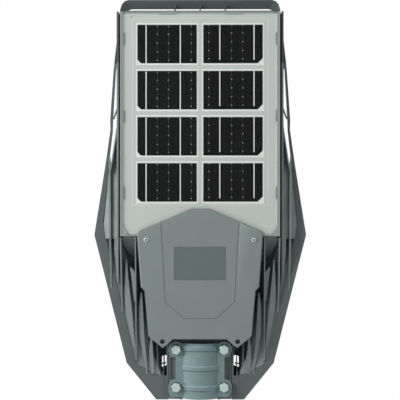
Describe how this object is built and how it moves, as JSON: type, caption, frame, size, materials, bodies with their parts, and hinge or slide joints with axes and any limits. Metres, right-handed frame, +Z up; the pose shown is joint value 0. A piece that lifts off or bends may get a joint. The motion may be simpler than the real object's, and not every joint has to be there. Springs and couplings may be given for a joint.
{
  "type": "solar street lamp",
  "caption": "Flat solar street lamp head with a solar panel on top, a ribbed winged housing, an LED lens field underneath and a bolted pole clamp.",
  "frame": {"origin": "on the axis of the pole clamp's bore, in the plane of the lamp's rear edge, where the pole enters", "axes": "+Y along the lamp from the pole clamp to the front bar, +Z up to the solar panel, +X across to the right wing"},
  "size_m": [0.328, 0.619, 0.0816],
  "materials": {
    "housing_abs": "fine-grained grey moulding",
    "cover_abs": "fine-grained grey moulding",
    "tray_abs": "fine-grained light grey moulding",
    "cast_paint": "satin grey-blue paint on a casting",
    "zinc": "bright zinc plate",
    "backsheet": "light grey laminate",
    "silicon": "black monocrystalline cells",
    "tinned": "tinned copper ribbon",
    "clear_sheet": "clear front laminate",
    "pad_foam": "white foam tape",
    "black_plastic": "black moulding",
    "black_rubber": "soft black seal",
    "label_film": "blank satin plate",
    "cell_wrap": null,
    "nickel": "nickel strip",
    "board_green": "green solder mask",
    "board_white": "white solder mask on aluminium",
    "connector_white": "natural nylon",
    "alloy": "mill finish sheet",
    "phosphor": "yellow phosphor",
    "lens_clear": "clear moulded lens",
    "dome_white": "milky sensor lens",
    "indicator_red": "dark red window",
    "button_red": "red moulding",
    "wire_red": "red cable",
    "wire_black": "black cable"
  },
  "bodies": {
    "lamp": {"main_housing": "housing_abs", "pole_cradle": "cast_paint", "cradle_screws": "zinc", "panel_tray": "tray_abs", "tray_screws": "zinc", "adhesive_pads": "pad_foam", "panel_backsheet": "backsheet", "solar_cells": "silicon", "cell_ribbons": "tinned", "panel_front_sheet": "clear_sheet", "panel_junction": "black_plastic", "battery_cover": "cover_abs", "cover_gasket": "black_rubber", "cover_screws": "zinc", "rating_plate": "label_film", "battery_cells": "cell_wrap", "battery_brackets": "black_plastic", "cell_strips": "nickel", "protection_board": "board_green", "controller_board": "board_green", "controller_parts": "black_plastic", "wire_connectors": "connector_white", "heat_spreader": "alloy", "led_board": "board_white", "led_chips": "phosphor", "lens_gaskets": "black_rubber", "lens_modules": "lens_clear", "lens_bezel": "tray_abs", "module_screws": "zinc", "sensor_board": "board_green", "sensor_parts": "nickel", "sensor_dome": "dome_white", "indicator_window": "indicator_red", "switch_body": "black_plastic", "button_seal": "black_rubber", "battery_lead": "wire_red", "panel_lead": "wire_black", "led_lead": "wire_red", "sensor_lead": "wire_black", "clamp_nuts": "zinc"},
    "saddle": {"clamp_saddle": "cast_paint", "flat_washers": "zinc", "spring_washers": "zinc"},
    "button": {"power_button": "button_red"},
    "bolt_rear_left": {"clamp_bolt_rear_left": "zinc"},
    "bolt_rear_right": {"clamp_bolt_rear_right": "zinc"},
    "bolt_front_left": {"clamp_bolt_front_left": "zinc"},
    "bolt_front_right": {"clamp_bolt_front_right": "zinc"}
  },
  "joints": [
    {"name": "saddle_lift", "type": "slide", "parent": "lamp", "child": "saddle", "axis": [0, 0, 1], "range_m": [-0.003, 0.008]},
    {"name": "button_press", "type": "slide", "parent": "lamp", "child": "button", "axis": [0, 0, 1], "range_m": [0, 0.0015], "stiffness_N_per_m": 1000, "springref_m": -0.001},
    {"name": "bolt_turn_rear_left", "type": "hinge", "parent": "saddle", "child": "bolt_rear_left", "pos_m": [-0.037, 0.0205, 0.02], "axis": [0, 0, 1], "range_deg": [-870, 2310]},
    {"name": "bolt_turn_rear_right", "type": "hinge", "parent": "saddle", "child": "bolt_rear_right", "pos_m": [0.037, 0.0205, 0.02], "axis": [0, 0, 1], "range_deg": [-870, 2310]},
    {"name": "bolt_turn_front_left", "type": "hinge", "parent": "saddle", "child": "bolt_front_left", "pos_m": [-0.037, 0.0785, 0.02], "axis": [0, 0, 1], "range_deg": [-870, 2310]},
    {"name": "bolt_turn_front_right", "type": "hinge", "parent": "saddle", "child": "bolt_front_right", "pos_m": [0.037, 0.0785, 0.02], "axis": [0, 0, 1], "range_deg": [-870, 2310]}
  ],
  "couplings": [
    {"joint": "bolt_turn_rear_left", "follows": "saddle_lift", "rad_per_m": 5026.5},
    {"joint": "bolt_turn_rear_right", "follows": "saddle_lift", "rad_per_m": 5026.5},
    {"joint": "bolt_turn_front_left", "follows": "saddle_lift", "rad_per_m": 5026.5},
    {"joint": "bolt_turn_front_right", "follows": "saddle_lift", "rad_per_m": 5026.5}
  ]
}
